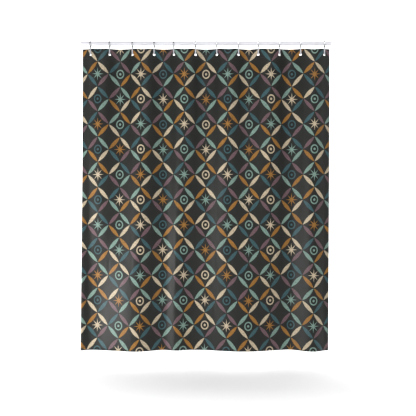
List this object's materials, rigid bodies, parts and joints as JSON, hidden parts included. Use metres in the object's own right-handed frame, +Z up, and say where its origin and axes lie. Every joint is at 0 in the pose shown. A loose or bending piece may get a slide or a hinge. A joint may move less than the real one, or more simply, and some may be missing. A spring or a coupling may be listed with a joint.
{
  "type": "shower curtain",
  "caption": "Patterned fabric shower curtain with hems and bound buttonholes, hung in soft folds from flat chrome hooks on a straight white tension rod.",
  "frame": {"origin": "centre of the rod's left end face, where its pad meets the wall", "axes": "+X along the rod to the right wall, -Y the printed front of the curtain, +Z up; the curtain hangs below the rod"},
  "size_m": [1.568, 0.0756, 1.9286],
  "materials": {
    "rod_paint": "smooth white enamel, semi-gloss",
    "cap_plastic": "white moulded plastic, light gloss",
    "pad_rubber": "pale grey rubber, matte",
    "insert_plastic": "dark moulded plastic, hidden inside the tube",
    "screw_steel": "zinc-plated steel",
    "hook_chrome": "bright chrome plate",
    "curtain_fabric": "smooth printed polyester, soft sheen, repeating pattern of circles, petals and starbursts on charcoal",
    "binding_thread": "dark polyester thread, satin stitched"
  },
  "bodies": {
    "rod": {"rod_tube": "rod_paint", "left_end_cap": "cap_plastic", "left_end_pad": "pad_rubber", "screw_insert": "insert_plastic"},
    "right_foot": {"right_end_cap": "cap_plastic", "right_end_pad": "pad_rubber"},
    "screw": {"tension_screw": "screw_steel"},
    "hook_01": {"hook_01": "hook_chrome"},
    "hook_02": {"hook_02": "hook_chrome"},
    "hook_03": {"hook_03": "hook_chrome"},
    "hook_04": {"hook_04": "hook_chrome"},
    "hook_05": {"hook_05": "hook_chrome"},
    "hook_06": {"hook_06": "hook_chrome"},
    "hook_07": {"hook_07": "hook_chrome"},
    "hook_08": {"hook_08": "hook_chrome"},
    "hook_09": {"hook_09": "hook_chrome"},
    "hook_10": {"hook_10": "hook_chrome"},
    "hook_11": {"hook_11": "hook_chrome"},
    "hook_12": {"hook_12": "hook_chrome"},
    "curtain": {"curtain_panel": "curtain_fabric", "top_hem": "curtain_fabric", "bottom_hem": "curtain_fabric", "left_hem": "curtain_fabric", "right_hem": "curtain_fabric", "buttonhole_binding": "binding_thread"}
  },
  "joints": [
    {"name": "foot_extend", "type": "slide", "parent": "rod", "child": "right_foot", "axis": [1, 0, 0], "range_m": [0, 0.01925]},
    {"name": "screw_spin", "type": "hinge", "parent": "right_foot", "child": "screw", "pos_m": [1.52, 0, 0], "axis": [1, 0, 0], "range_deg": [-10, 3970]},
    {"name": "hooks_swing", "type": "hinge", "parent": "rod", "child": "hook_01", "pos_m": [0.066, 0, 0], "axis": [1, 0, 0], "range_deg": [-15, 15]},
    {"name": "curtain_tilt", "type": "hinge", "parent": "hook_01", "child": "curtain", "pos_m": [0.066, 0, -0.069], "axis": [1, 0, 0], "range_deg": [-1.5, 1.5]},
    {"name": "hook_02_slide", "type": "slide", "parent": "hook_01", "child": "hook_02", "axis": [1, 0, 0], "range_m": [-0.096, 0.002]},
    {"name": "hook_03_slide", "type": "slide", "parent": "hook_01", "child": "hook_03", "axis": [1, 0, 0], "range_m": [-0.208, 0.002]},
    {"name": "hook_04_slide", "type": "slide", "parent": "hook_01", "child": "hook_04", "axis": [1, 0, 0], "range_m": [-0.315, 0.002]},
    {"name": "hook_05_slide", "type": "slide", "parent": "hook_01", "child": "hook_05", "axis": [1, 0, 0], "range_m": [-0.411, 0.002]},
    {"name": "hook_06_slide", "type": "slide", "parent": "hook_01", "child": "hook_06", "axis": [1, 0, 0], "range_m": [-0.518, 0.002]},
    {"name": "hook_07_slide", "type": "slide", "parent": "hook_01", "child": "hook_07", "axis": [1, 0, 0], "range_m": [-0.623, 0.002]},
    {"name": "hook_08_slide", "type": "slide", "parent": "hook_01", "child": "hook_08", "axis": [1, 0, 0], "range_m": [-0.73, 0.002]},
    {"name": "hook_09_slide", "type": "slide", "parent": "hook_01", "child": "hook_09", "axis": [1, 0, 0], "range_m": [-0.827, 0.002]},
    {"name": "hook_10_slide", "type": "slide", "parent": "hook_01", "child": "hook_10", "axis": [1, 0, 0], "range_m": [-0.931, 0.002]},
    {"name": "hook_11_slide", "type": "slide", "parent": "hook_01", "child": "hook_11", "axis": [1, 0, 0], "range_m": [-1.035, 0.002]},
    {"name": "curtain_draw", "type": "slide", "parent": "hook_01", "child": "hook_12", "axis": [1, 0, 0], "range_m": [-1.15, 0], "deforming": ["curtain_panel", "top_hem", "bottom_hem", "left_hem", "right_hem", "buttonhole_binding"]}
  ],
  "couplings": [
    {"joint": "screw_spin", "follows": "foot_extend", "rad_per_m": 3590.4},
    {"joint": "hook_02_slide", "follows": "curtain_draw", "ratio": 0.081969},
    {"joint": "hook_03_slide", "follows": "curtain_draw", "ratio": 0.17907},
    {"joint": "hook_04_slide", "follows": "curtain_draw", "ratio": 0.27204},
    {"joint": "hook_05_slide", "follows": "curtain_draw", "ratio": 0.35607},
    {"joint": "hook_06_slide", "follows": "curtain_draw", "ratio": 0.44904},
    {"joint": "hook_07_slide", "follows": "curtain_draw", "ratio": 0.53995},
    {"joint": "hook_08_slide", "follows": "curtain_draw", "ratio": 0.63292},
    {"joint": "hook_09_slide", "follows": "curtain_draw", "ratio": 0.71696},
    {"joint": "hook_10_slide", "follows": "curtain_draw", "ratio": 0.80787},
    {"joint": "hook_11_slide", "follows": "curtain_draw", "ratio": 0.89809}
  ]
}
